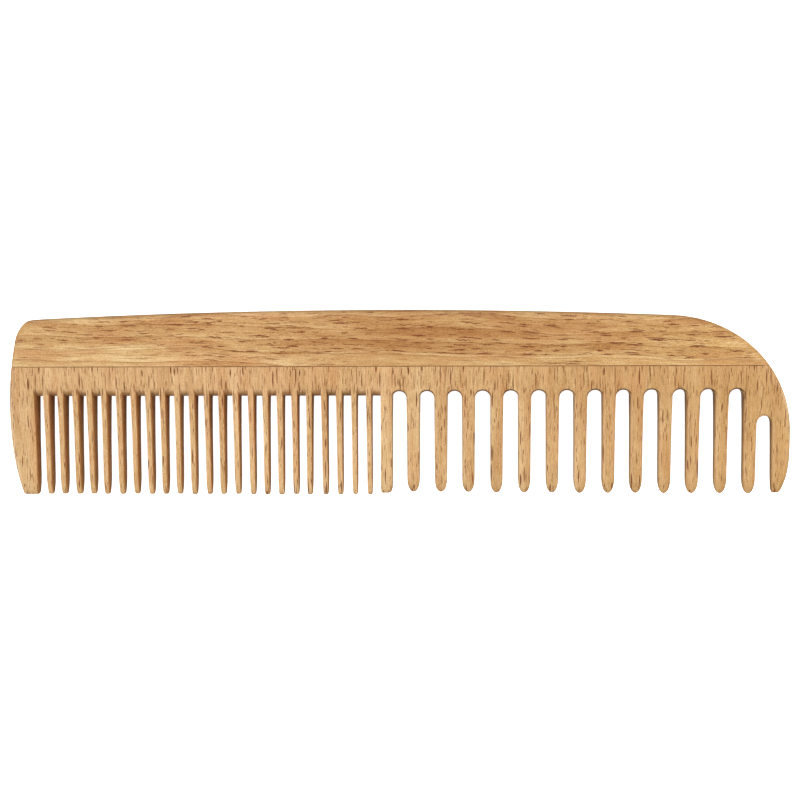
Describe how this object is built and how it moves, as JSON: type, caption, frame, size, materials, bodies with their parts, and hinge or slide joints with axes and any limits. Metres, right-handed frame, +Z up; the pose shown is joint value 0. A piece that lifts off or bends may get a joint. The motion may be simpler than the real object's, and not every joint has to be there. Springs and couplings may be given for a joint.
{
  "type": "beard comb",
  "caption": "Wooden beard comb with a glued spine over a tooth plate cut with fine teeth at one end and wide teeth at the other.",
  "frame": {"origin": "middle of the comb's footprint, on the surface it lies on", "axes": "+X along the length towards the wide teeth, +Y from the tooth tips to the spine, +Z up through the thickness"},
  "size_m": [0.18, 0.0428, 0.0065],
  "materials": {
    "spine_beech": "oiled beech, grain along the comb, satin",
    "plate_beech": "oiled beech, grain along the teeth, satin",
    "glue": "cured wood glue, translucent brown"
  },
  "bodies": {
    "root": {"spine": "spine_beech", "tooth_plate": "plate_beech", "glue_line": "glue"}
  },
  "joints": []
}
